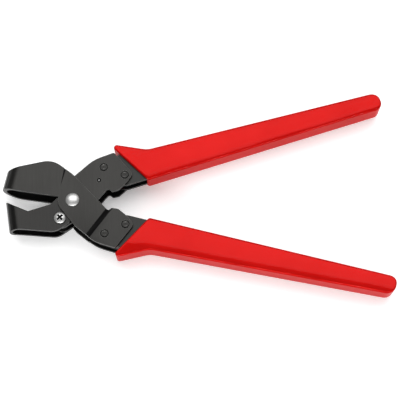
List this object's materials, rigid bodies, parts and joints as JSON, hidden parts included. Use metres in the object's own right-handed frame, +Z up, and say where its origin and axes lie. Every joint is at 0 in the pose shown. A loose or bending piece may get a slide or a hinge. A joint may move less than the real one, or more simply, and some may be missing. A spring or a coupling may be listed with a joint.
{
  "type": "notching pliers",
  "caption": "Hand pliers with a U-shaped punch that closes into a U-shaped die, two stamped levers on a riveted pivot with an opening spring, and long red sleeve grips.",
  "frame": {"origin": "under the middle of the tool's box, on the surface that it rests on", "axes": "+X along the tool from the jaws to the handle ends, +Z up along the pivot's axis, +Y towards the punch lever's handle"},
  "size_m": [0.2482, 0.1338, 0.0236],
  "materials": {
    "burnished_plate": "burnished satin dark steel",
    "blade_steel": "hardened and burnished steel",
    "burnished_rivets": "burnished, ground flush",
    "bright_fasteners": "bright polished steel",
    "plain_steel": "plain turned steel",
    "spring_wire": "drawn spring wire",
    "red_grip": "glossy dipped plastic sleeve"
  },
  "bodies": {
    "die_lever": {"die_frame": "burnished_plate", "pivot_rivet": "bright_fasteners", "lower_handle_core": "burnished_plate", "lower_inner_rivet": "burnished_rivets", "lower_outer_rivet": "burnished_rivets", "lower_grip": "red_grip"},
    "punch_lever": {"front_lever_plate": "burnished_plate", "rear_lever_plate": "burnished_plate", "punch_blade": "blade_steel", "blade_screw": "bright_fasteners", "blade_sleeve_nut": "bright_fasteners", "pivot_bush": "plain_steel", "front_thrust_washer": "plain_steel", "rear_thrust_washer": "plain_steel", "opening_spring": "spring_wire", "upper_handle_core": "burnished_plate", "upper_inner_rivet": "burnished_rivets", "upper_outer_rivet": "burnished_rivets", "upper_grip": "red_grip"}
  },
  "joints": [
    {"name": "pivot", "type": "hinge", "parent": "die_lever", "child": "punch_lever", "pos_m": [-0.07816, 0, 0.01145], "axis": [0, 0, -1], "range_deg": [0, 24], "stiffness_Nm_per_rad": 1.2, "springref_deg": -20.05, "deforming": ["opening_spring"]}
  ]
}
